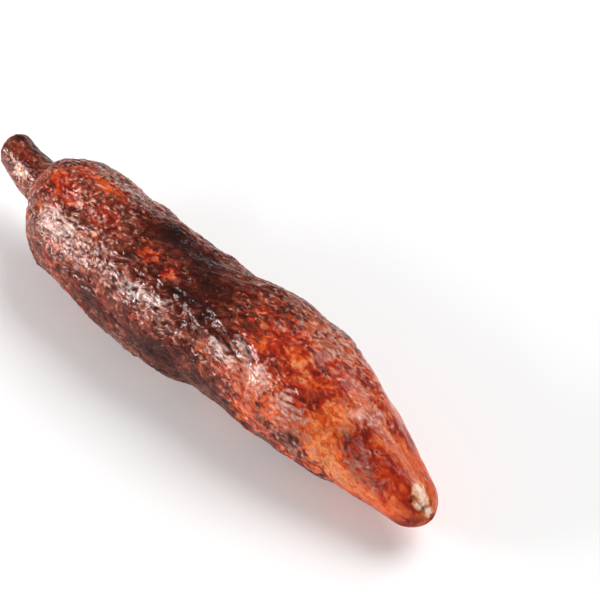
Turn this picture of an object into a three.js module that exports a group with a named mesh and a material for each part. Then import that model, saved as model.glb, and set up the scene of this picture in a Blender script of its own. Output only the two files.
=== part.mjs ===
// A cassava root: one long storage root with a short cut neck, lying on its belly.
// Millimetres, +Z up. It lies along X, neck at -X and tip at +X, on the plane z = 0.

import * as THREE from "three";

// Driving dimensions
const length = 300;
const thickness = 64;

// Rounded ends: how long the rounding is, and the share of the radius that the end face keeps
const neckRound = 4;
const neckCutShare = 0.68;
const tipRound = 11.5;
const tipCutShare = 0.3;

// The shoulder stands further along on one side of the neck than on the other
const shoulderSlant = 3.6;
const shoulderX = -112;
const shoulderReach = 22;
const shoulderLateSide = THREE.MathUtils.degToRad(301);

// The lumps and marks have their full height where the root is at least this share wide
const fullReliefShare = 0.45;

// Mesh: points around, and rings along in sections, closer together at the ends and the collar.
// A section ends at a place along the root and has a number of steps.
const spokes = 60;
const neckRoundSteps = 4;
const sections = [
  [-121, 8],
  [-105, 9],
  [length / 2 - tipRound, 63],
];
const tipRoundSteps = 7;

// The form along the root. First the place, as a share of the length from the middle, then,
// as shares of the thickness: sideways, height of the middle, half width and half height.
const stations = [
  [-0.500, -0.111, 0.560, 0.144, 0.144],
  [-0.467, -0.143, 0.545, 0.152, 0.152],
  [-0.433, -0.155, 0.530, 0.166, 0.166],
  [-0.384, -0.153, 0.514, 0.190, 0.190],
  [-0.377, -0.150, 0.510, 0.258, 0.256],
  [-0.364, -0.142, 0.502, 0.320, 0.317],
  [-0.345, -0.132, 0.493, 0.376, 0.370],
  [-0.320, -0.129, 0.485, 0.425, 0.413],
  [-0.283, -0.126, 0.480, 0.457, 0.443],
  [-0.213, -0.117, 0.474, 0.474, 0.470],
  [-0.107, -0.095, 0.474, 0.482, 0.480],
  [-0.027, -0.054, 0.472, 0.484, 0.475],
  [0.033, 0.019, 0.472, 0.488, 0.473],
  [0.100, 0.099, 0.468, 0.508, 0.486],
  [0.167, 0.123, 0.462, 0.496, 0.474],
  [0.240, 0.139, 0.446, 0.458, 0.438],
  [0.317, 0.154, 0.412, 0.384, 0.372],
  [0.383, 0.158, 0.372, 0.298, 0.290],
  [0.440, 0.149, 0.338, 0.216, 0.214],
  [0.500, 0.141, 0.312, 0.152, 0.152],
];

// Swellings and wrinkles: height, waves around, waves along the length, and how far each of the
// two is turned, in degrees. Few around and many along is a ring, the other way a long wrinkle.
const lumps = [
  [0.75, 2, 1.3, 40, 10],
  [0.65, 3, 2.1, 200, 80],
  [0.55, 4, 3.4, 310, 200],
  [0.42, 5, 4.7, 95, 300],
  [0.34, 7, 6.2, 150, 45],
  [0.22, 3, 13.0, 265, 130],
  [0.26, 9, 8.5, 20, 250],
  [0.20, 14, 4.5, 75, 20],
  [0.14, 5, 19.0, 190, 170],
  [0.16, 12, 15.0, 330, 95],
];

// The swellings wander: how far along, how far round in radians, and how often
const wander = { along: 7, round: 0.14, wavesAround: 2, wavesAlong: 2.6 };

// Single marks: place along, degrees from straight down, half length, half width, height
// (below zero for a crease), and lean in degrees
const marks = [
  // crease where the neck runs into the shoulder, and the bulge beside it
  [-95, 241, 13, 2.0, -1.3, -18],
  [-84, 262, 14, 13, 0.4, 0],
  // short creases along the upper side of the shoulder
  [-78, 239, 8, 2.4, -0.7, 0],
  [-68, 228, 8, 2.4, -0.7, 0],
  // long ridge on the back of the shoulder with a flatter strip beyond it
  [-92, 172, 20, 7, 0.9, 0],
  [-66, 148, 26, 9, -0.8, 0],
  // bulge and waist low on the side
  [-2, 300, 13, 15, 1.0, 0],
  [17, 296, 11, 15, -1.1, 0],
  // pair of furrows between ridges, past the middle
  [36, 222, 12, 2.0, -1.3, 13],
  [34, 229, 13, 3.2, 0.8, 13],
  [42, 208, 12, 3.2, 0.7, 13],
  [46, 215, 7, 2.4, -1.0, 16],
  // shallow places where flakes of bark have come off
  [-88, 197, 8, 6, -0.45, 0],
  [-55, 194, 8, 5, -0.4, 10],
  [-24, 195, 7, 4, -0.4, 0],
  [64, 198, 12, 8, -0.5, 0],
  [97, 205, 13, 7, -0.5, 20],
  [98, 236, 11, 6, -0.4, 0],
  [52, 240, 10, 7, -0.4, 0],
  [-40, 275, 10, 5, -0.4, -8],
  [14, 150, 13, 6, -0.45, 0],
  [-70, 120, 9, 5, -0.4, 0],
  [110, 110, 10, 5, -0.4, 0],
  // on the far side and underneath
  [-58, 84, 17, 3.0, -1.2, -6],
  [-20, 112, 11, 2.6, -0.9, 8],
  [28, 70, 19, 3.2, -1.2, 5],
  [62, 118, 12, 9, 1.1, 0],
  [84, 60, 14, 2.8, -0.9, -4],
  [-30, 40, 15, 10, 0.9, 0],
];

// Narrow waists that run part of the way round: place along, degrees at the middle of the arc,
// half of the arc in degrees, half width along the root, and depth
const waists = [
  [-115, 200, 110, 2.0, 1.2],
  [-46, 95, 55, 2.4, 0.7],
  [6, 60, 60, 2.4, 0.8],
  [74, 150, 60, 2.4, 0.6],
  [104, 300, 55, 2.4, 0.6],
  [126, 120, 80, 2.2, 0.5],
];

const half = length / 2;
const waistBlur = 0.3;

// Slopes of one column at the stations, such that the curve between two never overshoots them
function slopesOf(column) {
  const slopes = stations.map(() => 0);
  const chord = (k) => (stations[k + 1][column] - stations[k][column]) / gapAfter(k);
  slopes[0] = chord(0);
  slopes[stations.length - 1] = chord(stations.length - 2);
  for (let k = 1; k < stations.length - 1; k += 1) {
    const before = chord(k - 1);
    const after = chord(k);
    if (before * after > 0) {
      const weightBefore = 2 * gapAfter(k) + gapAfter(k - 1);
      const weightAfter = gapAfter(k) + 2 * gapAfter(k - 1);
      slopes[k] = (weightBefore + weightAfter) / (weightBefore / before + weightAfter / after);
    }
  }
  return slopes;
}

function gapAfter(k) {
  return stations[k + 1][0] - stations[k][0];
}

const columns = { sideways: 1, middle: 2, halfWidth: 3, halfHeight: 4 };
const slopes = Object.fromEntries(
  Object.entries(columns).map(([name, column]) => [name, slopesOf(column)]),
);

// The value of one column of the stations at a place along the root
function formAt(name, x) {
  const share = THREE.MathUtils.clamp(x / length, -0.5, 0.5);
  let k = 0;
  while (k < stations.length - 2 && stations[k + 1][0] <= share) {
    k += 1;
  }
  const gap = gapAfter(k);
  const t = (share - stations[k][0]) / gap;
  const start = stations[k][columns[name]];
  const end = stations[k + 1][columns[name]];
  const startSlope = slopes[name][k] * gap;
  const endSlope = slopes[name][k + 1] * gap;
  const value = start * (2 * t ** 3 - 3 * t ** 2 + 1)
    + startSlope * (t ** 3 - 2 * t ** 2 + t)
    + end * (3 * t ** 2 - 2 * t ** 3)
    + endSlope * (t ** 3 - t ** 2);
  return value * thickness;
}

// The share of the radius that is left in the rounding of either end
function endShare(x) {
  const intoNeck = THREE.MathUtils.clamp((-x - (half - neckRound)) / neckRound, 0, 1);
  const intoTip = THREE.MathUtils.clamp((x - (half - tipRound)) / tipRound, 0, 1);
  const neck = Math.sqrt(1 - (1 - neckCutShare ** 2) * intoNeck ** 2);
  const tip = Math.sqrt(1 - (1 - tipCutShare ** 2) * intoTip ** 2);
  return neck * tip;
}

function angleBetween(angle, degrees) {
  return THREE.MathUtils.euclideanModulo(
    angle - THREE.MathUtils.degToRad(degrees) + Math.PI,
    2 * Math.PI,
  ) - Math.PI;
}

// Height of the lumps, marks and waists over the plain form
function relief(x, angle, radius) {
  let height = 0;
  const wanderedX = x + wander.along * Math.sin(wander.wavesAround * angle);
  const wanderedAngle = angle + wander.round * Math.sin(2 * Math.PI * wander.wavesAlong * x / length);
  for (const [size, around, along, turn, shift] of lumps) {
    const roundPhase = around * wanderedAngle + THREE.MathUtils.degToRad(turn);
    const alongPhase = 2 * Math.PI * along * wanderedX / length + THREE.MathUtils.degToRad(shift);
    height += size * Math.sin(roundPhase) * Math.sin(alongPhase);
  }
  for (const [markX, markAngle, halfLength, halfWidth, size, lean] of marks) {
    const dx = x - markX;
    const dy = radius * angleBetween(angle, markAngle);
    const cos = Math.cos(THREE.MathUtils.degToRad(lean));
    const sin = Math.sin(THREE.MathUtils.degToRad(lean));
    const u = (cos * dx + sin * dy) / halfLength;
    const v = (cos * dy - sin * dx) / halfWidth;
    height += size * Math.exp(-u * u - v * v);
  }
  for (const [waistX, middle, halfArc, halfWidth, depth] of waists) {
    const past = Math.abs(angleBetween(angle, middle)) - THREE.MathUtils.degToRad(halfArc);
    const fade = 1 / (1 + Math.exp(past / waistBlur));
    height -= depth * fade * Math.exp(-(((x - waistX) / halfWidth) ** 2));
  }
  return height;
}

// A point of the skin. The angle starts straight down and turns by +Y. A ring on an end face
// has a smaller share of the radius, and may be set back into the root.
function skinPoint(x, angle, share = endShare(x), setBack = 0) {
  const nearShoulder = Math.exp(-(((x - shoulderX) / shoulderReach) ** 2));
  const slant = shoulderSlant * nearShoulder * Math.cos(angle - shoulderLateSide);
  const halfWidth = formAt("halfWidth", x - slant);
  const halfHeight = formAt("halfHeight", x - slant);
  const fullness = Math.min(halfWidth / (fullReliefShare * thickness), 1);
  const lift = relief(x, angle, halfWidth) * fullness;
  const y = formAt("sideways", x) + (halfWidth + lift) * share * Math.sin(angle);
  const z = formAt("middle", x) - (halfHeight + lift) * share * Math.cos(angle);
  return [x - Math.sign(x) * setBack, y, Math.max(z, 0)];
}

// Places of the rings from the neck's cut end to the tip, closer together in the roundings
function ringPlaces() {
  const places = [];
  for (let k = neckRoundSteps; k >= 0; k -= 1) {
    places.push(-half + neckRound * (1 - Math.sin(k / neckRoundSteps * Math.PI / 2)));
  }
  for (const [end, steps] of sections) {
    const start = places.at(-1);
    for (let k = 1; k <= steps; k += 1) {
      places.push(start + (end - start) * k / steps);
    }
  }
  for (let k = 1; k <= tipRoundSteps; k += 1) {
    places.push(half - tipRound * (1 - Math.sin(k / tipRoundSteps * Math.PI / 2)));
  }
  return places;
}

// Rings of the two end faces: share of the radius and set back. The neck's run outward, from its
// woody core across a groove to the rim of bark, and the tip's runs inward, into the broken end.
const neckHeart = 1.0;
const neckFace = [[0.18, 0.7], [0.48, 0.2], [0.58, 0.9]];
const tipFace = [[0.20, 0.5]];
const tipHeart = 0.3;

function buildRootGeometry() {
  const rings = [];
  const ring = (x, share, setBack) => {
    const points = [];
    for (let j = 0; j < spokes; j += 1) {
      points.push(skinPoint(x, 2 * Math.PI * j / spokes, share, setBack));
    }
    rings.push(points);
  };
  neckFace.forEach(([share, setBack]) => ring(-half, share, setBack));
  ringPlaces().forEach((x) => ring(x));
  tipFace.forEach(([share, setBack]) => ring(half, share, setBack));

  const positions = rings.flat(2);
  const neckMiddle = positions.length / 3;
  positions.push(...skinPoint(-half, 0, 0, neckHeart));
  const tipMiddle = neckMiddle + 1;
  positions.push(...skinPoint(half, 0, 0, tipHeart));

  const faces = [];
  const lastRing = (rings.length - 1) * spokes;
  for (let j = 0; j < spokes; j += 1) {
    const next = (j + 1) % spokes;
    faces.push(neckMiddle, next, j);
    faces.push(tipMiddle, lastRing + j, lastRing + next);
    for (let i = 0; i < rings.length - 1; i += 1) {
      const here = i * spokes;
      const beyond = here + spokes;
      faces.push(here + j, here + next, beyond + next);
      faces.push(here + j, beyond + next, beyond + j);
    }
  }
  const geometry = new THREE.BufferGeometry();
  geometry.setAttribute("position", new THREE.Float32BufferAttribute(positions, 3));
  geometry.setIndex(faces);
  geometry.computeVertexNormals();
  return geometry;
}

const bark = new THREE.MeshStandardMaterial({
  color: 0x8a4630,
  roughness: 0.42,
  metalness: 0,
});

const root = new THREE.Mesh(buildRootGeometry(), bark);
root.name = "cassava_root";

const group = new THREE.Group();
group.add(root);

export default group;
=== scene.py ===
"""A cassava root lying on a pale floor: a storage root with a short cut neck and waxed, flaking bark.

Metres, +Z up. The root lies along X, neck at -X and tip at +X. An angle on the root starts
straight down and turns by +Y, so that 90 degrees is the +Y side and 180 the top.
"""

import collections
import functools
import itertools
import math

import bpy
import numpy as np
from mathutils import Matrix, Vector


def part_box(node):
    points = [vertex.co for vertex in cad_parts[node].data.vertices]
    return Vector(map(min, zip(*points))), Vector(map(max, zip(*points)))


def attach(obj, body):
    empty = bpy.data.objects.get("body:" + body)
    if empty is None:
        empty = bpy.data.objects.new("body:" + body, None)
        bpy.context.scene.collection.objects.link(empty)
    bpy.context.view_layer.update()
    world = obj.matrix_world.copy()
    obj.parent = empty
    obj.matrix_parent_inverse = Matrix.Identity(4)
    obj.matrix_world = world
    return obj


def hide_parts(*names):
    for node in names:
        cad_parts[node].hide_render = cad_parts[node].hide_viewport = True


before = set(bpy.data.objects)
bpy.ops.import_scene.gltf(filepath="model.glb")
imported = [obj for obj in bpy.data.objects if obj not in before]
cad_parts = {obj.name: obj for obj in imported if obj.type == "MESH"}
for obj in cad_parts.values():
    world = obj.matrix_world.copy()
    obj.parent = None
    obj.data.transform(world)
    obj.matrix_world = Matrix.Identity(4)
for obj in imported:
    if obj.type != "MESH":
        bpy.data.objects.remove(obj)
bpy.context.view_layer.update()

# Driving dimensions
MM = 0.001
low_corner, high_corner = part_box("cassava_root")
LENGTH = high_corner.x - low_corner.x
HALF = LENGTH / 2
THICKNESS = 64 * MM

# Mesh: points around and rings along in each part of the length
SPOKES = 272
NECK_FACE_RINGS = 13
NECK_ROUND_RINGS = 8
BODY_RINGS = 318
TIP_ROUND_RINGS = 15
TIP_FACE_RINGS = 6

# Rounded ends: how long the rounding is, and the share of the radius that the end face keeps
NECK_ROUND = 4 * MM
NECK_CUT_SHARE = 0.68
TIP_ROUND = 11.5 * MM
TIP_CUT_SHARE = 0.3

# End faces from the middle outwards: share of the radius, and how far it is set back
NECK_FACE = np.array([(0, 1.0), (0.18, 0.7), (0.48, 0.2), (0.58, 0.9), (0.68, 0)]) * (1, MM)
TIP_FACE = np.array([(0, 0.3), (0.20, 0.5), (0.30, 0)]) * (1, MM)

# The shoulder stands further along on one side of the neck than on the other
SHOULDER_SLANT = 3.6 * MM
SHOULDER_X = -112 * MM
SHOULDER_REACH = 22 * MM
SHOULDER_LATE_SIDE = math.radians(301)

# The lumps and marks have their full height where the root is at least this share wide
FULL_RELIEF_SHARE = 0.45

# The form along the root. First the place, as a share of the length from the middle, then,
# as shares of the thickness: sideways, height of the middle, half width and half height.
STATIONS = np.array([
    (-0.500, -0.111, 0.560, 0.144, 0.144),
    (-0.467, -0.143, 0.545, 0.152, 0.152),
    (-0.433, -0.155, 0.530, 0.166, 0.166),
    (-0.384, -0.153, 0.514, 0.190, 0.190),
    (-0.377, -0.150, 0.510, 0.258, 0.256),
    (-0.364, -0.142, 0.502, 0.320, 0.317),
    (-0.345, -0.132, 0.493, 0.376, 0.370),
    (-0.320, -0.129, 0.485, 0.425, 0.413),
    (-0.283, -0.126, 0.480, 0.457, 0.443),
    (-0.213, -0.117, 0.474, 0.474, 0.470),
    (-0.107, -0.095, 0.474, 0.482, 0.480),
    (-0.027, -0.054, 0.472, 0.484, 0.475),
    (0.033, 0.019, 0.472, 0.488, 0.473),
    (0.100, 0.099, 0.468, 0.508, 0.486),
    (0.167, 0.123, 0.462, 0.496, 0.474),
    (0.240, 0.139, 0.446, 0.458, 0.438),
    (0.317, 0.154, 0.412, 0.384, 0.372),
    (0.383, 0.158, 0.372, 0.298, 0.290),
    (0.440, 0.149, 0.338, 0.216, 0.214),
    (0.500, 0.141, 0.312, 0.152, 0.152),
])

# Swellings: height in mm, waves around, waves along, and how far each is turned, in degrees
LUMPS = [
    (0.75, 2, 1.3, 40, 10),
    (0.65, 3, 2.1, 200, 80),
    (0.55, 4, 3.4, 310, 200),
    (0.42, 5, 4.7, 95, 300),
    (0.34, 7, 6.2, 150, 45),
    (0.22, 3, 13.0, 265, 130),
    (0.26, 9, 8.5, 20, 250),
    (0.20, 14, 4.5, 75, 20),
    (0.14, 5, 19.0, 190, 170),
    (0.16, 12, 15.0, 330, 95),
]
WANDER_ALONG = 7 * MM
WANDER_ROUND = 0.14
WANDER_WAVES_AROUND = 2
WANDER_WAVES_ALONG = 2.6

# Single marks: place along in mm, angle in degrees, half length, half width and height in mm
# (below zero for a crease), and lean in degrees
MARKS = [
    # crease where the neck runs into the shoulder, and the bulge beside it
    (-95, 241, 13, 2.0, -1.3, -18),
    (-84, 262, 14, 13, 0.4, 0),
    # short creases along the upper side of the shoulder
    (-78, 239, 8, 2.4, -0.7, 0),
    (-68, 228, 8, 2.4, -0.7, 0),
    # long ridge on the back of the shoulder with a flatter strip beyond it
    (-92, 172, 20, 7, 0.9, 0),
    (-66, 148, 26, 9, -0.8, 0),
    # bulge and waist low on the side
    (-2, 300, 13, 15, 1.0, 0),
    (17, 296, 11, 15, -1.1, 0),
    # pair of furrows between ridges, past the middle
    (36, 222, 12, 2.0, -1.3, 13),
    (34, 229, 13, 3.2, 0.8, 13),
    (42, 208, 12, 3.2, 0.7, 13),
    (46, 215, 7, 2.4, -1.0, 16),
    # shallow places where flakes of bark have come off
    (-88, 197, 8, 6, -0.45, 0),
    (-55, 194, 8, 5, -0.4, 10),
    (-24, 195, 7, 4, -0.4, 0),
    (64, 198, 12, 8, -0.5, 0),
    (97, 205, 13, 7, -0.5, 20),
    (98, 236, 11, 6, -0.4, 0),
    (52, 240, 10, 7, -0.4, 0),
    (-40, 275, 10, 5, -0.4, -8),
    (14, 150, 13, 6, -0.45, 0),
    (-70, 120, 9, 5, -0.4, 0),
    (110, 110, 10, 5, -0.4, 0),
    # on the far side and underneath
    (-58, 84, 17, 3.0, -1.2, -6),
    (-20, 112, 11, 2.6, -0.9, 8),
    (28, 70, 19, 3.2, -1.2, 5),
    (62, 118, 12, 9, 1.1, 0),
    (84, 60, 14, 2.8, -0.9, -4),
    (-30, 40, 15, 10, 0.9, 0),
]

# Narrow waists that run part of the way round: place along in mm, angle at the middle of the
# arc and half of the arc in degrees, half width along the root and depth in mm
WAISTS = [
    (-115, 200, 110, 2.0, 1.2),
    (-46, 95, 55, 2.4, 0.7),
    (6, 60, 60, 2.4, 0.8),
    (74, 150, 60, 2.4, 0.6),
    (104, 300, 55, 2.4, 0.6),
    (126, 120, 80, 2.2, 0.5),
]
WAIST_BLUR = 0.3

# Sharp cracks at the bottom of the creases, as marks
CRACKS = [
    (-97, 242, 12, 0.8, -0.7, -18),
    (-78, 239, 8, 0.7, -0.6, 0),
    (-68, 228, 8, 0.7, -0.6, 0),
    (35, 223, 12, 1.1, -0.6, 14),
    (46, 216, 7, 1.0, -0.55, 16),
    (148.0, 190, 0.7, 6, -0.5, 0),
    (144.5, 156, 4.5, 0.7, -0.4, 0),
    (145.5, 199, 3.5, 0.7, -0.4, -10),
    (-58, 84, 17, 0.8, -0.6, -6),
    (-20, 112, 11, 0.7, -0.5, 8),
    (28, 70, 19, 0.8, -0.6, 5),
    (84, 60, 14, 0.7, -0.5, -4),
]

# Where the outer skin has flaked off, so that the smooth orange layer under it shows, as marks
# with a strength in place of the height
FLAKED = [
    (-93, 194, 7, 4, 1.0, 0),
    (-86, 200, 7, 4, 0.9, 0),
    (-80, 168, 24, 4, 0.8, 0),
    (-58, 193, 8, 4, 1.2, 10),
    (-26, 196, 6, 4, 1.2, 0),
    (-10, 195, 6, 4, 1.0, 0),
    (-40, 268, 10, 5, 0.4, -8),
    (62, 194, 15, 10, 1.0, 0),
    (72, 187, 7, 5, 0.7, 0),
    (96, 206, 15, 10, 1.2, 20),
    (99, 237, 15, 10, 1.0, 0),
    (54, 240, 12, 8, 0.8, 0),
    (34, 222, 12, 5, -0.8, 14),
    (79, 246, 9, 6, 0.7, 0),
    (60, 267, 10, 5, 0.6, 0),
    (126, 200, 20, 22, 1.2, 0),
    (130, 262, 18, 16, 1.0, 0),
    (104, 168, 24, 10, 0.9, 0),
    (-70, 118, 12, 6, 0.8, 0),
    (-95, 75, 10, 8, 0.7, 0),
    (-30, 95, 14, 5, 0.6, 8),
    (10, 100, 10, 6, 0.7, 0),
    (45, 80, 14, 7, 0.8, -6),
    (92, 100, 22, 12, 0.9, 0),
    (125, 60, 20, 16, 0.8, 0),
    (60, 30, 14, 8, 0.6, 0),
    (-15, 40, 12, 6, 0.6, 0),
    (-60, 335, 14, 6, 0.5, 0),
    (30, 330, 16, 6, 0.6, 0),
    (100, 320, 16, 8, 0.7, 0),
]

# Zones of the bark, each a list of such marks, and how noise blurs them: strength, size along
# and around in mm, and seed
ZONES = {
    # redder bark
    "red": ([
        (-88, 192, 20, 16, 0.75, 0),
        (-58, 193, 12, 8, 0.7, 0),
        (-62, 270, 30, 12, 0.4, 0),
        (-30, 250, 24, 8, 0.3, 0),
        (66, 195, 22, 12, 1.0, 0),
        (84, 204, 12, 9, 0.8, 0),
        (128, 203, 16, 10, 1.1, 0),
        (140, 230, 6, 5, 0.8, 0),
        (118, 171, 22, 8, 0.8, 0),
        (-130, 200, 12, 8, 0.4, 0),
        (-80, 60, 30, 18, 0.6, 0),
        (40, 95, 30, 16, 0.6, 0),
        (60, 330, 30, 14, 0.5, 0),
    ], 0.5, 16, 9, 161),
    # pink bloom
    "pale": ([
        (66, 155, 20, 12, 0.85, 0),
        (56, 226, 12, 6, 0.8, 10),
        (50, 240, 14, 8, 0.7, 0),
        (72, 258, 20, 10, 0.5, 0),
        (122, 238, 10, 6, 0.6, 0),
        (128, 275, 18, 8, 0.4, 0),
        (-74, 240, 30, 9, 0.5, 0),
        (-20, 245, 24, 8, 0.3, 0),
        (104, 192, 6, 5, 0.7, 0),
        (-22, 203, 6, 4, 0.6, 0),
        (-108, 190, 3, 16, 0.5, 0),
        (60, 90, 30, 12, 0.6, 0),
        (-60, 20, 24, 12, 0.4, 0),
    ], 0.35, 12, 7, 241),
    # brighter orange in the smooth layer
    "light": ([
        (94, 205, 10, 7, 0.7, 20),
        (97, 243, 13, 6, 0.85, 0),
        (108, 256, 12, 5, 0.8, 0),
        (52, 240, 10, 6, 0.6, 10),
        (60, 267, 8, 4, 0.5, 0),
        (101, 191, 5, 4, 0.7, 0),
        (94, 227, 5, 4, 0.6, 0),
        (71, 196, 6, 8, 0.95, 0),
        (104, 168, 12, 7, 0.6, 0),
        (84, 262, 14, 7, 0.5, 0),
        (-80, 167, 20, 3, 0.3, 0),
        (102, 206, 5, 4, 0.6, 0),
        (137, 249, 9, 5, 0.75, 0),
        (118, 276, 14, 6, 0.5, 0),
        (130, 166, 18, 7, 0.6, 0),
        (116, 268, 16, 4, 0.7, 0),
        (92, 100, 16, 8, 0.8, 0),
        (120, 60, 16, 10, 0.6, 0),
        (104, 318, 14, 6, 0.6, 0),
    ], 0.4, 9, 6, 261),
    # dark stains, and painted shade: the marks from -34 to 32 mm at 158 to 230 degrees paint a shadow,
    # and those at 267 to 278 degrees darken the low side as shade
    "dark": ([
        (-14, 169, 27, 12, 0.8, 0),
        (10, 190, 16, 8, 0.6, 0),
        (-1, 209, 14, 4, 0.7, 0),
        (-34, 158, 14, 8, 0.6, 0),
        (-66, 210, 12, 4, 0.4, -8),
        (-34, 206, 16, 4, 0.6, 8),
        (20, 212, 9, 5, 0.8, 0),
        (19, 230, 7, 6, 0.45, 0),
        (32, 207, 9, 3, 0.4, 12),
        (84, 206, 8, 6, 0.8, 0),
        (110, 217, 11, 7, 0.5, 20),
        (86, 260, 9, 9, 0.55, 0),
        (67, 255, 7, 8, 0.6, 0),
        (92, 193, 5, 5, 0.4, 0),
        (-42, 225, 13, 4, 0.35, 0),
        (-36, 267, 26, 14, 0.6, 0),
        (10, 271, 20, 19, 0.58, 0),
        (44, 278, 16, 11, 0.45, 0),
        (110, 291, 20, 2.6, 0.4, 0),
        (-114, 190, 6, 8, 0.5, 0),
        (-138, 140, 12, 5, 0.4, 0),
        (149, 254, 2.2, 4, 0.9, 0),
        (139, 218, 4, 3, 0.6, 0),
        (-80, 95, 10, 8, 0.6, 0),
        (0, 75, 16, 8, 0.7, 0),
        (60, 60, 12, 8, 0.5, 0),
        (-45, 20, 16, 10, 0.6, 0),
        (20, 10, 18, 10, 0.6, 0),
    ], 0.45, 20, 11, 171),
    # grey-brown chips of the outermost skin, and painted sheen: the marks from -78 to -34 mm at 236 to
    # 240 degrees paint a broad sheen along the highlight, and the long one at 145 degrees a painted sheen
    # at the upper edge
    "mauve": ([
        (65, 263, 8, 6, 0.7, 0),
        (75, 228, 7, 5, 1.2, 30),
        (81, 241, 6, 7, 1.3, 0),
        (86, 257, 8, 10, 1.4, 0),
        (111, 217, 10, 6, 1.0, 20),
        (115, 228, 9, 6, 0.9, 20),
        (129, 240, 9, 5, 0.6, 0),
        (-70, 145, 30, 8, 1.0, 0),
        (-78, 240, 24, 11, 0.9, 0),
        (-34, 236, 30, 9, 0.6, 0),
        (-42, 214, 12, 9, 0.5, 0),
        (-14, 281, 14, 6, 0.7, 0),
        (22, 240, 12, 6, 0.5, 0),
        (-116, 233, 8, 6, 0.6, 0),
        (-132, 252, 12, 5, 0.7, 0),
        (-90, 110, 14, 7, 0.6, 0),
        (20, 125, 16, 6, 0.6, 0),
        (-10, 340, 16, 7, 0.6, 0),
    ], 0.45, 8, 5, 281),
    # a thin pale layer in flecks, and painted highlight: the marks from -85 to 58 mm at 214 to 240
    # degrees paint the highlight, and the long one at 146 degrees a painted sheen at the upper edge
    "film_and_highlight": ([
        (-85, 228, 7, 6, 0.95, 0),
        (-76, 230, 12, 6, 1.2, 0),
        (-69, 217, 5, 4, 0.8, 0),
        (-58, 229, 12, 5, 0.45, 0),
        (-38, 229, 14, 5, 0.25, 4),
        (-28, 238, 6, 4, 0.5, 0),
        (-17, 228, 10, 6, 1.1, 0),
        (-3, 221, 6, 5, 1.1, 0),
        (3, 240, 5, 8, 0.8, 0),
        (-78, 200, 14, 6, 0.6, 0),
        (-48, 204, 10, 5, 0.6, 0),
        (-74, 146, 30, 6, 0.8, 0),
        (36, 230, 13, 3.2, 1.4, 13),
        (43, 214, 10, 3.2, 0.85, 14),
        (58, 226, 11, 6, 0.8, 12),
        (18, 240, 12, 6, 0.3, 0),
        (79, 230, 7, 8, 0.7, 20),
        (86, 252, 8, 7, 0.4, 0),
        (112, 222, 6, 5, 0.6, 0),
        (-128, 228, 8, 4.2, 1.5, 6),
        (103, 190, 6, 5, 0.6, 0),
        (58, 265, 8, 3, 0.7, 0),
        (-30, 130, 16, 6, 0.6, 0),
        (-90, 110, 14, 7, 0.5, 0),
        (20, 115, 14, 6, 0.5, 0),
        (-10, 340, 14, 6, 0.5, 0),
    ], 0.4, 11, 5, 191),
    # healed scars without bark
    "cream": ([
        (143.8, 178, 5.4, 4.3, 1.1, 4),
        (146.0, 209, 2.0, 2.0, 0.8, 0),
        (150.2, 180, 1.8, 7, 1.1, 0),
        (-127, 227, 3.2, 1.4, 1.1, 0),
    ], 0.2, 2.6, 1.6, 211),
    # cream flecks, one by one
    "flecked": ([
        (-82, 196, 20, 16, 1.0, 0),
        (-50, 195, 18, 12, 0.8, 0),
        (-30, 234, 50, 12, 0.7, 0),
        (40, 165, 50, 12, 0.4, 0),
        (100, 188, 9, 6, 0.9, 0),
        (112, 178, 12, 6, 0.4, 0),
        (60, 240, 26, 16, 0.8, 0),
        (78, 152, 30, 11, 0.5, 0),
        (-128, 215, 12, 8, 0.5, 0),
        (-60, 110, 40, 20, 0.5, 0),
        (60, 100, 50, 24, 0.5, 0),
        (10, 330, 90, 20, 0.4, 0),
    ], 0.3, 16, 8, 301),
}

# Changes along the root, each from its start to its end: the grooves of the neck fade out, the
# outer skin gets thinner, and the tip gets smooth
GROOVES_FADE = (-122 * MM, -112 * MM)
OUTER_SKIN_THINS = (5 * MM, 75 * MM)
TIP_SMOOTHS = (108 * MM, 134 * MM)

# All fine bark is pushed about by slow noise, so that nothing on it runs straight
DRIFT_SIZE = 9 * MM
DRIFT_REACH = 1.5 * MM
DRIFT_SEEDS = (51, 52, 53)

# The noise that blurs the zones has this many layers
BLUR_LAYERS = 3

# Noises of the fine bark: size along and around in mm, layers, seed, and the strength of each
# layer as a share of the one before
FINE_NOISES = {
    "ragged": (13, 6, 4, 11, 0.6),
    "chipped": (3.6, 1.9, 2, 31, 0.5),
    "wrinkled": (17, 2.6, 3, 71, 0.55),
    "folded": (24, 4.5, 2, 91, 0.5),
    "grainy": (2.2, 1.3, 2, 131, 0.7),
    "grooved": (30, 1.7, 2, 151, 0.5),
}

# What makes the outer skin flake off beside the flaked marks, and, below zero, what keeps it on
FLAKING = {"ragged": 0.95, "chipped": 0.35, "tipward": 0.34, "dark": -0.6, "neck": -0.25}

# The edge of a flaked place, and the lip of skin outside it, as values of the flaking
FLAKE_EDGE = (0.36, 0.50)
LIP_MIDDLE = 0.30
LIP_WIDTH = 0.07

# Scales of bark: length and width in mm, seed, and where the gap between two starts and ends
SCALE_CELLS = (5.2, 2.5)
SCALE_SEED = 17
SCALE_GAP = (0.04, 0.22)

# Cross slits of raised cork, each in the middle of a cell, and the share of cells that have none
SLIT_CELLS = (7.5, 11)
SLIT_SEED = 23
SLIT_EDGE = (0.34, 0.16)
WITHOUT_SLIT = 0.45

# The part of the folds that makes a groove
FOLD_EDGE = (0.90, 1.0)

# Heights of the fine bark in mm. What is named outer is on the outer skin alone.
FLAKE_DEPTH = 0.30
LIP_HEIGHT = 0.10
WRINKLES = 0.13
OUTER_WRINKLES = 0.13
FOLD_DEPTH = 0.10
OUTER_SCALE_STEPS = 0.16
OUTER_SCALE_TILTS = 0.30
OUTER_GAP_DEPTH = 0.16
GRAIN = 0.05
OUTER_GRAIN = 0.06
SLIT_HEIGHT = 0.10
NECK_GROOVES = 0.25

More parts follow.
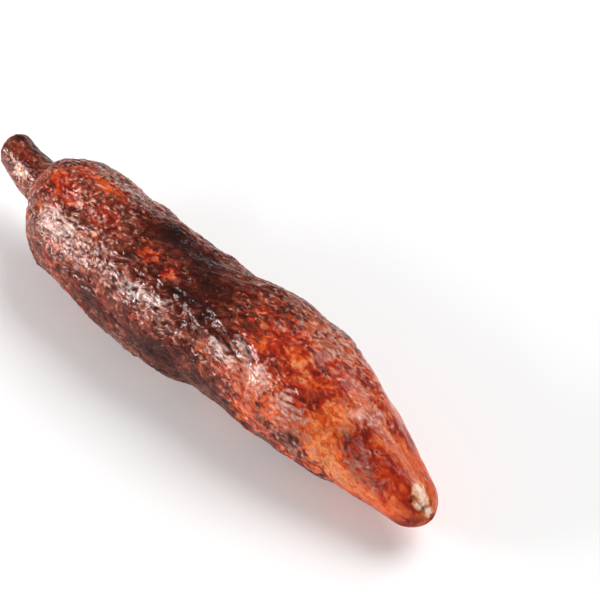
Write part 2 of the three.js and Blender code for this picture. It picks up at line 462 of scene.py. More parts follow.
# The share of the outer skin's relief that is lost towards the tip
LOST_TIPWARD = 0.5

# How dark a crack is painted for each mm of its depth, as painted shade
CRACK_SHADE = 1.4

# The cut wood of the neck: how many fibres cross its radius, and how high they stand
FIBRES_ACROSS = 9
FIBRE_HEIGHT = 0.45 * MM
FIBRE_SEED = 231

# The unwrapped skin keeps this much between the last ring at either end and the middle point
RING_TO_MIDDLE = 1 * MM

# The random numbers of the noise repeat after this many cells, and the swing brings it to -1 to 1
REPEAT = 256
SWING = 1.6


def pick_for(cells, shuffled):
    """A number below the repeat for each cell, as if at random."""
    picked = 0
    for place in cells.T:
        picked = shuffled[(picked + place) % REPEAT]
    return picked


def gradient_noise(points, seed):
    """Smooth noise from about -1 to 1 at points given in cells."""
    rng = np.random.default_rng(seed)
    shuffled = rng.permutation(REPEAT)
    gradients = rng.normal(size=(REPEAT, 3))
    gradients /= np.linalg.norm(gradients, axis=1, keepdims=True)
    cell = np.floor(points).astype(int)
    inside = points - cell
    ease = inside**3 * (6 * inside**2 - 15 * inside + 10)
    total = np.zeros(len(points))
    for corner in itertools.product((0, 1), repeat=3):
        weight = np.where(corner, ease, 1 - ease).prod(axis=1)
        gradient = gradients[pick_for(cell + corner, shuffled)]
        total += weight * (gradient * (inside - corner)).sum(axis=1)
    return SWING * total


def layered_noise(points, layers, seed, gain=0.5):
    """Noise with finer and weaker layers on top."""
    total = np.zeros(len(points))
    size, sum_of_sizes = 1.0, 0.0
    for layer in range(layers):
        total += size * gradient_noise(points * 2**layer, seed + layer)
        sum_of_sizes += size
        size *= gain
    return total / sum_of_sizes


def bark_cells(points, seed):
    """Uneven cells: distance to the nearest middle, how much nearer it is than the second one,
    a random number for the cell, and a random tilt that lifts one side of it."""
    rng = np.random.default_rng(seed)
    shuffled = rng.permutation(REPEAT)
    offsets = rng.random((REPEAT, 3))
    numbers = rng.random(REPEAT)
    tilts = rng.normal(size=(REPEAT, 3))
    cell = np.floor(points).astype(int)
    nearest = np.full(len(points), np.inf)
    second = np.full(len(points), np.inf)
    number = np.zeros(len(points))
    tilt = np.zeros(len(points))
    for corner in itertools.product((-1, 0, 1), repeat=3):
        around = cell + corner
        picked = pick_for(around, shuffled)
        away = points - around - offsets[picked]
        distance = np.linalg.norm(away, axis=1)
        closer = distance < nearest
        second = np.where(closer, nearest, np.minimum(second, distance))
        nearest = np.where(closer, distance, nearest)
        number = np.where(closer, numbers[picked], number)
        tilt = np.where(closer, (tilts[picked] * away).sum(axis=1), tilt)
    return nearest, second - nearest, number, tilt


def smooth_step(value, start, end):
    """0 at the start and 1 at the end, with no corner at either."""
    share = np.clip((value - start) / (end - start), 0, 1)
    return share * share * (3 - 2 * share)


def slopes_of(column):
    """Slopes at the stations, such that the curve between two never overshoots them."""
    gaps = np.diff(STATIONS[:, 0])
    chords = np.diff(column) / gaps
    slopes = np.zeros(len(column))
    slopes[0] = chords[0]
    slopes[-1] = chords[-1]
    for k in range(1, len(column) - 1):
        before, after = chords[k - 1], chords[k]
        if before * after > 0:
            weight_before = 2 * gaps[k] + gaps[k - 1]
            weight_after = gaps[k] + 2 * gaps[k - 1]
            slopes[k] = (weight_before + weight_after) / (weight_before / before + weight_after / after)
    return slopes


def form_at(name, x):
    """One column of the stations at places along the root, in metres."""
    column = STATIONS[:, ("sideways", "middle", "half width", "half height").index(name) + 1]
    slopes = slopes_of(column)
    places = STATIONS[:, 0]
    share = np.clip(x / LENGTH, -0.5, 0.5)
    k = np.clip(np.searchsorted(places, share, side="right") - 1, 0, len(places) - 2)
    gap = places[k + 1] - places[k]
    t = (share - places[k]) / gap
    value = column[k] * (2 * t**3 - 3 * t**2 + 1)
    value += slopes[k] * gap * (t**3 - 2 * t**2 + t)
    value += column[k + 1] * (3 * t**2 - 2 * t**3)
    value += slopes[k + 1] * gap * (t**3 - t**2)
    return value * THICKNESS


def end_share(x):
    """The share of the radius that is left in the rounding of either end."""
    into_neck = np.clip((-x - (HALF - NECK_ROUND)) / NECK_ROUND, 0, 1)
    into_tip = np.clip((x - (HALF - TIP_ROUND)) / TIP_ROUND, 0, 1)
    neck = np.sqrt(1 - (1 - NECK_CUT_SHARE**2) * into_neck**2)
    tip = np.sqrt(1 - (1 - TIP_CUT_SHARE**2) * into_tip**2)
    return neck * tip


def angle_between(angle, degrees):
    """From an angle in degrees the short way round to angles in radians."""
    return np.remainder(angle - math.radians(degrees) + math.pi, 2 * math.pi) - math.pi


def marks_at(marks, x, angle, radius):
    """The sum of single marks, in the unit of their height."""
    total = np.zeros_like(x)
    for mark_x, mark_angle, half_length, half_width, height, lean in marks:
        along = x - mark_x * MM
        across = radius * angle_between(angle, mark_angle)
        cos, sin = math.cos(math.radians(lean)), math.sin(math.radians(lean))
        u = (cos * along + sin * across) / (half_length * MM)
        v = (cos * across - sin * along) / (half_width * MM)
        total += height * np.exp(-u * u - v * v)
    return total


def main_relief(x, angle, radius):
    """Height of the lumps, marks and waists over the plain form, the same as the solid has."""
    height = np.zeros_like(x)
    wandered_x = x + WANDER_ALONG * np.sin(WANDER_WAVES_AROUND * angle)
    wandered_angle = angle + WANDER_ROUND * np.sin(2 * math.pi * WANDER_WAVES_ALONG * x / LENGTH)
    for size, around, along, turn, shift in LUMPS:
        round_phase = around * wandered_angle + math.radians(turn)
        along_phase = 2 * math.pi * along * wandered_x / LENGTH + math.radians(shift)
        height += size * np.sin(round_phase) * np.sin(along_phase)
    height += marks_at(MARKS, x, angle, radius)
    for waist_x, middle, half_arc, half_width, depth in WAISTS:
        past = np.abs(angle_between(angle, middle)) - math.radians(half_arc)
        fade = 1 / (1 + np.exp(past / WAIST_BLUR))
        height -= depth * fade * np.exp(-(((x - waist_x * MM) / (half_width * MM)) ** 2))
    return height * MM


def bark_skin(x, angle, radius):
    """The fine bark: its height over the form, and what covers each point, mostly from 0 to 1."""
    straight = np.stack([x, radius * np.sin(angle), -radius * np.cos(angle)], axis=-1)
    drift = np.stack([gradient_noise(straight / DRIFT_SIZE, seed) for seed in DRIFT_SEEDS], axis=-1)
    bent = straight + DRIFT_REACH * drift

    def cells(along, around):
        """The points in cells of a size in millimetres."""
        return bent / (np.array((along, around, around)) * MM)

    noises = {}
    for name, (along, around, layers, seed, gain) in FINE_NOISES.items():
        noises[name] = layered_noise(cells(along, around), layers, seed, gain)
    masks = {}
    for name, (marks, strength, along, around, seed) in ZONES.items():
        blur = layered_noise(cells(along, around), BLUR_LAYERS, seed)
        masks[name] = marks_at(marks, x, angle, radius) + strength * blur
    tipward = smooth_step(x, *OUTER_SKIN_THINS)
    on_neck = 1 - smooth_step(x, *GROOVES_FADE)

    # Where the outer skin has flaked off
    flaking = marks_at(FLAKED, x, angle, radius)
    causes = noises | masks | {"tipward": tipward, "neck": on_neck}
    for name, weight in FLAKING.items():
        flaking += weight * causes[name]
    flaked = smooth_step(flaking, *FLAKE_EDGE)
    lip = np.exp(-(((flaking - LIP_MIDDLE) / LIP_WIDTH) ** 2))

    # Scales, slits, folds and cracks
    _, border, scale, tilt = bark_cells(cells(*SCALE_CELLS), SCALE_SEED)
    gap = 1 - smooth_step(border, *SCALE_GAP)
    slit_near, _, slit_pick, _ = bark_cells(cells(*SLIT_CELLS), SLIT_SEED)
    slit = smooth_step(slit_near, *SLIT_EDGE) * (slit_pick > WITHOUT_SLIT)
    fold = smooth_step(1 - np.abs(noises["folded"]), *FOLD_EDGE)
    crack = -marks_at(CRACKS, x, angle, radius)

    outer = (1 - flaked) * (1 - LOST_TIPWARD * tipward)
    height = LIP_HEIGHT * lip - FLAKE_DEPTH * flaked
    height += (WRINKLES + OUTER_WRINKLES * outer) * noises["wrinkled"]
    height += (GRAIN + OUTER_GRAIN * outer) * noises["grainy"]
    height += outer * (OUTER_SCALE_STEPS * (scale - 0.5) + OUTER_SCALE_TILTS * tilt)
    height -= OUTER_GAP_DEPTH * outer * gap + FOLD_DEPTH * fold
    height += SLIT_HEIGHT * slit + NECK_GROOVES * on_neck * noises["grooved"] - crack

    masks = {name: np.clip(mask, 0, 1) for name, mask in masks.items()}
    masks["flaking"] = flaking
    # Painted shade in the cracks, darker the deeper they are
    masks["crack"] = np.clip(CRACK_SHADE * crack, 0, 1)
    masks["tipward"] = tipward
    masks["tip"] = smooth_step(x, *TIP_SMOOTHS)
    return height * MM, masks


def ring_rows():
    """Rings from the neck's middle to the tip's middle: place along, share of the radius, set back."""
    rows = []
    for share in np.linspace(0, NECK_CUT_SHARE, NECK_FACE_RINGS + 1)[1:-1]:
        rows.append((-HALF, share, np.interp(share, NECK_FACE[:, 0], NECK_FACE[:, 1])))
    for k in range(NECK_ROUND_RINGS, -1, -1):
        x = -HALF + NECK_ROUND * (1 - math.sin(k / NECK_ROUND_RINGS * math.pi / 2))
        rows.append((x, float(end_share(x)), 0))
    for x in np.linspace(-HALF + NECK_ROUND, HALF - TIP_ROUND, BODY_RINGS + 1)[1:]:
        rows.append((x, 1.0, 0))
    for k in range(1, TIP_ROUND_RINGS + 1):
        x = HALF - TIP_ROUND * (1 - math.sin(k / TIP_ROUND_RINGS * math.pi / 2))
        rows.append((x, float(end_share(x)), 0))
    for share in np.linspace(TIP_CUT_SHARE, 0, TIP_FACE_RINGS + 1)[1:-1]:
        rows.append((HALF, share, np.interp(share, TIP_FACE[:, 0], TIP_FACE[:, 1])))
    return np.array(rows)


def skin_points(rows):
    """Points, straightened places and masks of the whole skin, ring by ring."""
    angle = np.tile(np.arange(SPOKES) * 2 * math.pi / SPOKES, len(rows))
    x, share, set_back = (np.repeat(rows[:, column], SPOKES) for column in range(3))
    near_shoulder = np.exp(-(((x - SHOULDER_X) / SHOULDER_REACH) ** 2))
    slant = SHOULDER_SLANT * near_shoulder * np.cos(angle - SHOULDER_LATE_SIDE)
    half_width = form_at("half width", x - slant)
    half_height = form_at("half height", x - slant)
    fullness = np.minimum(half_width / (FULL_RELIEF_SHARE * THICKNESS), 1)
    fine, masks = bark_skin(x, angle, half_width)
    lift = main_relief(x, angle, half_width) * fullness + fine * np.sqrt(fullness)
    sideways = (half_width + lift) * share * np.sin(angle)
    upwards = -(half_height + lift) * share * np.cos(angle)

    # The cut neck is uneven wood
    on_cut = x <= -HALF
    across = np.stack([share * np.cos(angle), share * np.sin(angle), 0 * share], axis=-1)
    fibres = layered_noise(across * FIBRES_ACROSS, layers=3, seed=FIBRE_SEED, gain=0.7)
    set_back = set_back + np.where(on_cut, FIBRE_HEIGHT * fibres, 0)
    masks["cut"] = np.where(on_cut, 1.0, 0.0)
    masks["ring"] = np.where(on_cut, share / NECK_CUT_SHARE, 1.0)

    y = form_at("sideways", x) + sideways
    z = np.maximum(form_at("middle", x) + upwards, 0)
    points = np.stack([x - np.sign(x) * set_back, y, z], axis=-1)
    straight = np.stack([x, sideways, upwards], axis=-1)
    return points, straight, masks


def with_middles(points, straight, masks):
    """The same with two more points: the middle of the neck's cut and the middle of the tip."""
    for x, set_back in ((-HALF, NECK_FACE[0, 1]), (HALF, TIP_FACE[0, 1])):
        set_in = x - math.copysign(set_back, x)
        points = np.vstack([points, (set_in, form_at("sideways", x), form_at("middle", x))])
        straight = np.vstack([straight, (x, 0, 0)])
    masks = {name: np.append(values, (values[0], values[-1])) for name, values in masks.items()}
    masks["ring"][-2] = 0
    return points, straight, masks


def faces_and_unwrap(along):
    """The faces of the skin, and the place of each of their corners on the unwrapped skin. Along
    is how far each ring is from the neck's middle to the tip's, from 0 to 1."""
    faces = []
    corners = []
    neck_middle = len(along) * SPOKES
    tip_middle = neck_middle + 1
    last = neck_middle - SPOKES
    for j in range(SPOKES):
        after = (j + 1) % SPOKES
        left, right = j / SPOKES, (j + 1) / SPOKES
        between = (left + right) / 2
        faces.append((neck_middle, after, j))
        corners += [(0, between), (along[0], right), (along[0], left)]
        for i, (near, far) in enumerate(itertools.pairwise(along)):
            here, beyond = i * SPOKES, (i + 1) * SPOKES
            faces.append((here + j, here + after, beyond + after, beyond + j))
            corners += [(near, left), (near, right), (far, right), (far, left)]
        faces.append((tip_middle, last + j, last + after))
        corners += [(1, between), (along[-1], left), (along[-1], right)]
    return faces, corners


def add_object(name, data):
    """A new object in the scene."""
    item = bpy.data.objects.new(name, data)
    bpy.context.scene.collection.objects.link(item)
    return item


def make_root():
    points, straight, masks = skin_points(ring_rows())
    steps = np.linalg.norm(np.diff(points[::SPOKES], axis=0), axis=1)
    along = np.concatenate([[0], np.cumsum(steps)]) + RING_TO_MIDDLE
    faces, corners = faces_and_unwrap(along / (along[-1] + RING_TO_MIDDLE))
    points, straight, masks = with_middles(points, straight, masks)

    mesh = bpy.data.meshes.new("root_bark")
    mesh.from_pydata(points.tolist(), [], faces)
    mesh.shade_smooth()
    unwrap = mesh.uv_layers.new(name="OFBake")
    unwrap.data.foreach_set("uv", np.array(corners, dtype=np.float32).ravel())
    place = mesh.attributes.new("skin", "FLOAT_VECTOR", "POINT")
    place.data.foreach_set("vector", straight.astype(np.float32).ravel())
    for name, values in masks.items():
        layer = mesh.attributes.new(name, "FLOAT", "POINT")
        layer.data.foreach_set("value", values.astype(np.float32))
    mesh.materials.append(bark_material())
    return add_object("root_bark", mesh)


# Where the mix node keeps its two colours among its inputs, and the mixed one among its outputs
MIX_FIRST, MIX_SECOND, MIX_RESULT = 6, 7, 2

# Noise colours lie around this one
NOISE_MIDDLE = (0.5, 0.5, 0.5)

# What lies along the root waves: size of the waves, and how far from side to side
WAVE_SIZE = 10 * MM
WAVE_REACH = 6 * MM

# The edges of the chips are bent by noise. Its scale and reach are in units of a chip's size.
CHIP_BEND_SCALE = 0.9
CHIP_BEND_REACH = 1.3

# The way in which each noise is moved along, so that no two are alike
OFFSET_WAY = (1.0, 0.7, -1.0)

Chips = collections.namedtuple("Chips", "first second tilt")


class Nodes:
    """Short calls for the nodes of one material."""

    def __init__(self, name):
        self.material = bpy.data.materials.new(name)
        self.material.use_nodes = True
        self.tree = self.material.node_tree
        self.tree.nodes.clear()

    def add(self, kind, settings=None, **inputs):
        """A node with its settings, and its inputs by their names with _ for a space."""
        node = self.tree.nodes.new(kind)
        for name, value in (settings or {}).items():
            setattr(node, name, value)
        for name, value in inputs.items():
            self.feed(node.inputs[name.replace("_", " ")], value)
        return node

    def feed(self, socket, value):
        """Links a socket where the value comes from another node, or sets it."""
        if isinstance(value, bpy.types.NodeSocket):
            self.tree.links.new(value, socket)
        else:
            socket.default_value = value

    def operate(self, kind, operation, values):
        """A node that calculates, with its inputs in their order."""
        node = self.add(kind, {"operation": operation})
        for socket, value in zip(node.inputs, values):
            self.feed(socket, value)
        return node

    def maths(self, operation, *values):
        return self.operate("ShaderNodeMath", operation, values).outputs[0]

    def vector(self, operation, *values, result="Vector"):
        return self.operate("ShaderNodeVectorMath", operation, values).outputs[result]

    def total(self, *terms, plus=0.0):
        """The sum of values, each with its weight, plus a number."""
        value = 0.0
        for term, weight in terms:
            value = self.maths("MULTIPLY_ADD", term, weight, value)
        return self.maths("ADD", value, plus) if plus else value

    def step(self, value, start, end, low=0.0, high=1.0):
        """Low where the value is at the start, high where it is at the end, and smooth between."""
        node = self.add("ShaderNodeMapRange", {"interpolation_type": "SMOOTHSTEP"}, Value=value)
        limits = {"From Min": start, "From Max": end, "To Min": low, "To Max": high}
        for socket, number in limits.items():
            node.inputs[socket].default_value = number
        return node.outputs["Result"]

    def blend(self, share, first, second):
        """The first colour where the share is 0, and the second where it is 1."""
        node = self.add("ShaderNodeMix", {"data_type": "RGBA"}, Factor=share)
        self.feed(node.inputs[MIX_FIRST], first)
        self.feed(node.inputs[MIX_SECOND], second)
        return node.outputs[MIX_RESULT]

    def paint(self, ground, colour, amount, start, end, most=1.0):
        """A colour over a ground: none of it where the amount is at the start, most at the end."""
        return self.blend(self.step(amount, start, end, high=most), ground, colour)

    def attribute(self, name):
        return self.add("ShaderNodeAttribute", {"attribute_name": name})

    def mask(self, name):
        return self.attribute(name).outputs["Fac"]

    def pushed(self, place, scale, reach, detail=1.0, roughness=0.5):
        """A place pushed about by noise."""
        spots = {"Vector": place, "Scale": scale, "Detail": detail, "Roughness": roughness}
        push = self.add("ShaderNodeTexNoise", **spots)
        off = self.vector("SUBTRACT", push.outputs["Color"], NOISE_MIDDLE)
        return self.vector("ADD", place, self.vector("MULTIPLY", off, (reach, reach, reach)))

    @functools.cached_property
    def wavy_place(self):
        """The straightened place on the skin, pushed about."""
        place = self.attribute("skin").outputs["Vector"]
        return self.pushed(place, 1 / WAVE_SIZE, WAVE_REACH)

    def scaled(self, size, stretch, offset):
        """The wavy place in units of a size in millimetres, drawn out along the root."""
        across = 1 / (size * MM)
        mapping = self.add("ShaderNodeMapping", Vector=self.wavy_place)
        mapping.inputs["Scale"].default_value = (across / stretch, across, across)
        mapping.inputs["Location"].default_value = [offset * way for way in OFFSET_WAY]
        return mapping.outputs["Vector"]

    def noise(self, size, stretch, detail, offset, roughness=0.5):
        """Noise with spots of a size in millimetres, mostly from 0.3 to 0.7."""
        place = self.scaled(size, stretch, offset)
        node = self.add("ShaderNodeTexNoise", Vector=place, Scale=1.0, Detail=detail, Roughness=roughness)
        return node.outputs["Fac"]

    def uneven_chips(self, size, stretch, offset):
        """Chips of a size in millimetres: two random numbers and a tilt for each."""
        place = self.scaled(size, stretch, offset)
        bent = self.pushed(place, CHIP_BEND_SCALE, CHIP_BEND_REACH, detail=3.0, roughness=0.6)
        cells = self.add("ShaderNodeTexVoronoi", Vector=bent, Scale=1.0)
        split = self.add("ShaderNodeSeparateColor", Color=cells.outputs["Color"])
        away = self.vector("SUBTRACT", bent, cells.outputs["Position"])
        lean = self.vector("SUBTRACT", cells.outputs["Color"], NOISE_MIDDLE)
        tilt = self.vector("DOT_PRODUCT", lean, away, result="Value")
        return Chips(split.outputs["Red"], split.outputs["Green"], tilt)

    def finished(self, **inputs):
        """The material, with a surface that has these inputs."""
        shader = self.add("ShaderNodeBsdfPrincipled", **inputs)
        self.add("ShaderNodeOutputMaterial", Surface=shader.outputs["BSDF"])
        return self.material


def colour(red, green, blue):
    """A colour from its screen values 0 to 255."""
    def linear(value):
        share = value / 255
        return share / 12.92 if share <= 0.04045 else ((share + 0.055) / 1.055) ** 2.4
    return (linear(red), linear(green), linear(blue), 1.0)


DARK_BARK = colour(74, 25, 16)
BROWN_BARK = colour(112, 48, 33)
BRICK_BARK = colour(140, 74, 56)
PINK_BARK = colour(192, 114, 89)
DEEP_RED = colour(120, 33, 20)
RED = colour(174, 50, 27)
ORANGE = colour(218, 94, 38)
PALE_ORANGE = colour(230, 144, 92)
# The next colour is for grey-brown chips and for a painted sheen
MAUVE = colour(148, 97, 91)
# The next colour is for dark stains, veins and flecks, and for painted shade
STAIN_AND_SHADE = colour(36, 16, 12)
# The next colour is for pale flecks and for a painted highlight
FILM_AND_HIGHLIGHT = colour(236, 217, 211)
SPECK = colour(226, 174, 156)
CREAM = colour(255, 226, 204)
WOOD_DARK = colour(112, 74, 54)
WOOD_LIGHT = colour(190, 152, 120)

# The wax over the bark
WAX_REFRACTION = 1.40
WAX_GLOSS = 0.38
WAX_ROUGHNESS = 0.14


class Bark(Nodes):
    """The waxed bark. Each layer is mixed from the same few noises, so that their edges agree."""

    def __init__(self):
        super().__init__("waxed_bark")
        # Noises, by the size of their spots in mm and how far they are drawn out along the root
        self.wide = self.noise(15, 1.5, detail=2, roughness=0.6, offset=3)
        self.patches = self.noise(7, 1.6, detail=3, offset=11)
        self.spots = self.noise(4.2, 1.6, detail=3, offset=61)
        self.strokes = self.noise(2.4, 1.9, detail=2, offset=17)
        self.mottle = self.noise(2.2, 1.3, detail=1, offset=71)
        self.dashes = self.noise(1.8, 1.9, detail=1, offset=37)
        self.flecks = self.noise(1.2, 1.5, detail=2, offset=29)
        self.chips = self.uneven_chips(2.6, 1.6, offset=7)
        self.tipward = self.mask("tipward")
        self.dark = self.mask("dark")
        self.grey = self.mask("mauve")
        self.red = self.mask("red")
        self.light = self.mask("light")
        self.cut = self.mask("cut")

    def outer_skin(self):
        """The outer skin, in strokes along the root."""
        # The dark zone, which is partly painted shade, darkens the tone
        tone = self.total(
            (self.patches, 1.1),
            (self.strokes, 1.1),
            (self.chips.first, 0.3),
            (self.dark, -0.45),
            plus=-0.73,
        )
        skin = self.paint(DARK_BARK, BROWN_BARK, tone, 0.15, 0.45)
        skin = self.paint(skin, BRICK_BARK, tone, 0.45, 0.70)
        skin = self.paint(skin, PINK_BARK, tone, 0.72, 0.95)
        reddish = self.paint(DEEP_RED, RED, tone, 0.15, 0.55)
        redness = self.total((self.red, 0.8), (self.spots, 1.4), plus=-0.70)
        return self.paint(skin, reddish, redness, 0.1, 0.9, most=0.85)

    def bare_layer(self):
        """The smooth layer under the outer skin."""
        shade = self.total(
            (self.wide, 0.8),
            (self.patches, 1.1),
            (self.strokes, 0.8),
            (self.red, -0.20),
            (self.light, 0.5),
            plus=-0.80,
        )
        skin = self.paint(DEEP_RED, RED, shade, 0.22, 0.50)
        skin = self.paint(skin, ORANGE, shade, 0.48, 0.74)
        lightness = self.total((self.light, 0.9), (self.spots, 1.6), (self.strokes, 1.6), plus=-1.6)
        skin = self.paint(skin, PALE_ORANGE, lightness, 0.45, 1.0, most=0.9)
        skin = self.paint(skin, BROWN_BARK, self.mottle, 0.54, 0.26, most=0.4)
        fine = self.total((self.mottle, 0.6), (self.strokes, 0.4))
        return self.paint(skin, PALE_ORANGE, fine, 0.50, 0.75, most=0.55)

    def bareness(self):
        """Where the outer skin is gone, from 0 to 1."""
        edge = self.total(
            (self.mask("flaking"), 1.0),
            (self.strokes, 1.6),
            (self.spots, 1.0),
            (self.chips.second, 0.2),
            plus=-1.4,
        )
        return self.step(edge, 0.15, 0.60)

    def bloomed(self, skin):
        """Pink bloom and grey-brown chips, which in places are a painted sheen."""
        bloom = self.total((self.mask("pale"), 0.7), (self.strokes, 1.2), (self.mottle, 1.4), plus=-1.3)
        skin = self.paint(skin, PINK_BARK, bloom, 0.10, 0.80, most=0.85)
        greyed = self.total(
            (self.grey, 0.5),
            (self.dashes, 1.3),
            (self.flecks, 0.7),
            (self.mottle, 0.9),
            plus=-1.56,
        )
        return self.paint(skin, MAUVE, greyed, 0.12, 0.60, most=0.85)

    def stained_and_shaded(self, skin):
        """Dark stains and painted shade, less dark towards the tip."""
        stain_and_shade = self.total(
            (self.dark, 1.3),
            (self.grey, 0.35),
            (self.spots, 1.0),
            (self.strokes, 1.4),
            (self.mottle, 1.0),
            plus=-2.0,
        )
        stain_and_shade_colour = self.blend(self.tipward, STAIN_AND_SHADE, DARK_BARK)
        return self.paint(skin, stain_and_shade_colour, stain_and_shade, 0.42, 1.05, most=0.94)

    def filmed_and_highlighted(self, skin):
        """Pale flecks of a thin layer, partly a painted highlight, and single cream specks."""
        film_and_highlight = self.total(
            (self.mask("film_and_highlight"), 0.46),
            (self.dashes, 1.0),
            (self.strokes, 0.5),
            (self.spots, 0.3),
            (self.dark, -0.3),
            plus=-1.10,
        )
        skin = self.paint(skin, FILM_AND_HIGHLIGHT, film_and_highlight, -0.02, 0.52, most=0.88)
        specks = self.total(
            (self.mottle, 1.0),
            (self.dashes, 0.5),
            (self.mask("flecked"), 0.18),
            (self.grey, 0.10),
            (self.dark, -0.3),
            (self.red, -0.08),
        )
        return self.paint(skin, SPECK, specks, 0.80, 1.20, most=0.75)

    def veined(self, skin):
        """Thin dark veins, fainter towards the tip, then dark flecks and small changes of shade."""
        wander = self.noise(3.0, 2.8, detail=2, roughness=0.6, offset=53)
        vein = self.maths("ABSOLUTE", self.total((wander, 1.0), plus=-0.5))
        strength = self.step(self.tipward, 1.0, 0.0, low=0.08, high=0.40)
        share = self.maths("MULTIPLY", self.step(vein, 0.05, 0.0), strength)
        skin = self.blend(share, skin, STAIN_AND_SHADE)
        skin = self.paint(skin, STAIN_AND_SHADE, self.flecks, 0.42, 0.18, most=0.4)
        return self.vector("MULTIPLY", skin, self.step(self.flecks, 0.30, 0.70, low=0.80, high=1.20))

    def smooth_at_tip(self, skin):
        """The smooth tip, where one glow of red and orange covers most of the rest."""
        glow = self.total(
            (self.wide, 1.0),
            (self.patches, 1.2),
            (self.strokes, 0.3),
            (self.red, -0.4),
            (self.light, 0.4),
            plus=-0.76,
        )
        calm = self.paint(RED, ORANGE, glow, 0.20, 0.55)
        calm = self.paint(calm, DEEP_RED, glow, 0.15, -0.10)
        calm = self.paint(calm, PALE_ORANGE, glow, 0.60, 1.00)
        fine = self.total((self.strokes, 0.6), (self.mottle, 0.4))
        calm = self.paint(calm, DEEP_RED, fine, 0.48, 0.28, most=0.6)
        cover = self.total((self.grey, -0.55), plus=0.65)
        return self.blend(self.maths("MULTIPLY", self.mask("tip"), cover), skin, calm)

    def scarred(self, skin):
        """Cream scars with an orange edge, and painted shade in the cracks."""
        fine = self.total((self.strokes, 1.6), (self.mottle, 1.2), plus=-0.55)
        scar = self.maths("MULTIPLY", self.mask("cream"), fine)
        skin = self.paint(skin, PALE_ORANGE, scar, 0.10, 0.50, most=0.8)
        skin = self.paint(skin, CREAM, scar, 0.30, 0.95)
        return self.paint(skin, STAIN_AND_SHADE, self.mask("crack"), 0.15, 0.9, most=0.80)

    def cut_at_neck(self, skin):
        """The cut wood of the neck, with a rim of bark."""
        wood = self.paint(WOOD_DARK, WOOD_LIGHT, self.flecks, 0.35, 0.65)
        wood = self.paint(wood, DARK_BARK, self.mask("ring"), 0.66, 0.86)
        return self.blend(self.cut, skin, wood)

    def relief(self, bare):
        """Relief finer than the mesh, in millimetres, smoother where the outer skin is gone."""
        crust = self.total(
            (self.strokes, 0.55),
            (self.dashes, 0.25),
            (self.noise(4.0, 1.5, detail=1, roughness=0.6, offset=43), 0.8),
            (self.chips.tilt, 0.3),
        )
        strength = self.total((bare, -0.25), (self.tipward, -0.35), plus=1.0)
        height = self.maths("MULTIPLY", crust, strength)
        return self.add("ShaderNodeBump", Height=height, Distance=MM, Strength=1.0).outputs["Normal"]


def bark_material():
    bark = Bark()
    bare = bark.bareness()
    skin = bark.blend(bare, bark.outer_skin(), bark.bare_layer())
    skin = bark.bloomed(skin)
    skin = bark.stained_and_shaded(skin)
    skin = bark.filmed_and_highlighted(skin)
    skin = bark.veined(skin)
    skin = bark.smooth_at_tip(skin)
    skin = bark.scarred(skin)
    skin = bark.cut_at_neck(skin)
    return bark.finished(
        Base_Color=skin,
        Roughness=bark.total((bark.strokes, 0.12), (bare, -0.02), (bark.cut, 0.4), plus=WAX_ROUGHNESS),
        Normal=bark.relief(bare),
        IOR=WAX_REFRACTION,
        Specular_IOR_Level=WAX_GLOSS,
    )


# A plain pale floor, just under the root, with very little change of shade
FLOOR_REACH = 4.0
FLOOR_DEPTH = 0.2 * MM
FLOOR_SHADES = ((0.86, 0.86, 0.86, 1.0), (0.88, 0.88, 0.88, 1.0))
FLOOR_ROUGHNESS = 0.85


def floor_material():
    floor = Nodes("pale_floor")
    shade = floor.add("ShaderNodeTexNoise", Scale=6.0, Detail=3.0).outputs["Fac"]
    tint = floor.paint(*FLOOR_SHADES, shade, 0.3, 0.7)
    return floor.finished(Base_Color=tint, Roughness=FLOOR_ROUGHNESS)


def make_floor():
    signs = ((-1, -1), (1, -1), (1, 1), (-1, 1))
    corners = [(x * FLOOR_REACH, y * FLOOR_REACH, -FLOOR_DEPTH) for x, y in signs]
    mesh = bpy.data.meshes.new("floor")
    mesh.from_pydata(corners, [], [(0, 1, 2, 3)])
    mesh.materials.append(floor_material())
    floor = add_object("floor", mesh)


# Soft lamps: azimuth and elevation in degrees, distance, width and height in metres, power in
# watts, and whether it casts a shadow. The strip is two lamps at one place. Only the weaker one
# casts a shadow, so it is a faint one.
LAMPS = {
    "strip": (-37, 21, 2.2, 1.1, 0.06, 34, False),
    "strip_shadow": (-37, 21, 2.2, 1.1, 0.06, 18, True),
    "top": (165, 52, 3.0, 2.2, 2.2, 72, True),
}
LAMP_AIM = Vector((0, 0, 30 * MM))
WORLD_COLOUR = (1, 1, 1, 1)
WORLD_STRENGTH = 0.3


def direction(azimuth, elevation):
    """From the root towards an azimuth and elevation in degrees. Azimuth 0 is -Y and 90 is +X."""
    a, e = math.radians(azimuth), math.radians(elevation)
    return Vector((math.sin(a) * math.cos(e), -math.cos(a) * math.cos(e), math.sin(e)))


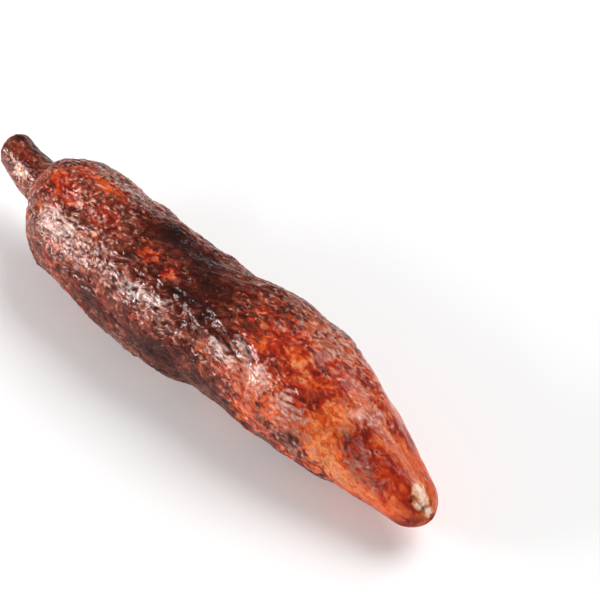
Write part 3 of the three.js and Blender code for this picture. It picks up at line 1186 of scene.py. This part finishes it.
def make_lights():
    for name, (azimuth, elevation, distance, width, height, power, shadow) in LAMPS.items():
        light = bpy.data.lights.new(name, "AREA")
        light.shape = "RECTANGLE"
        light.size = width
        light.size_y = height
        light.energy = power
        light.use_shadow = shadow
        toward = direction(azimuth, elevation)
        lamp = add_object(name, light)
        lamp.location = LAMP_AIM + toward * distance
        lamp.rotation_euler = toward.to_track_quat("Z", "Y").to_euler()
    world = bpy.data.worlds.new("studio")
    world.use_nodes = True
    background = world.node_tree.nodes["Background"]
    background.inputs["Color"].default_value = WORLD_COLOUR
    background.inputs["Strength"].default_value = WORLD_STRENGTH
    bpy.context.scene.world = world


# The camera looks from the photograph's side and height. In its frame of 600 by 600 pixels, the
# middle of the root stands left of the picture's middle and a little below it.
CAMERA_AZIMUTH = 52
CAMERA_ELEVATION = 45
CAMERA_DISTANCE = 1.2
CAMERA_LENS = 155
CAMERA_SENSOR = 36
PICTURE_PIXELS = 600
ROOT_PIXEL = (206.8, 321.3)
ROOT_MIDDLE = Vector((0, 0, 28 * MM))


def make_camera():
    back = direction(CAMERA_AZIMUTH, CAMERA_ELEVATION)
    right = Vector((0, 0, 1)).cross(back).normalized()
    up = back.cross(right)
    pixel = CAMERA_DISTANCE * CAMERA_SENSOR / CAMERA_LENS / PICTURE_PIXELS
    aside = (ROOT_PIXEL[0] - PICTURE_PIXELS / 2) * pixel
    below = (ROOT_PIXEL[1] - PICTURE_PIXELS / 2) * pixel
    aim = ROOT_MIDDLE - right * aside + up * below
    data = bpy.data.cameras.new("camera")
    data.lens = CAMERA_LENS
    data.sensor_width = CAMERA_SENSOR
    camera = add_object("camera", data)
    turned = Matrix((right, up, back)).transposed().to_4x4()
    camera.matrix_world = Matrix.Translation(aim + back * CAMERA_DISTANCE) @ turned
    bpy.context.scene.camera = camera


# Below 1, dark and middle tones come out a little darker
GAMMA = 0.88

root = make_root()
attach(root, "root")
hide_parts("cassava_root")
make_floor()
make_lights()
make_camera()

bpy.context.scene.view_settings.view_transform = "Standard"
bpy.context.scene.view_settings.gamma = GAMMA
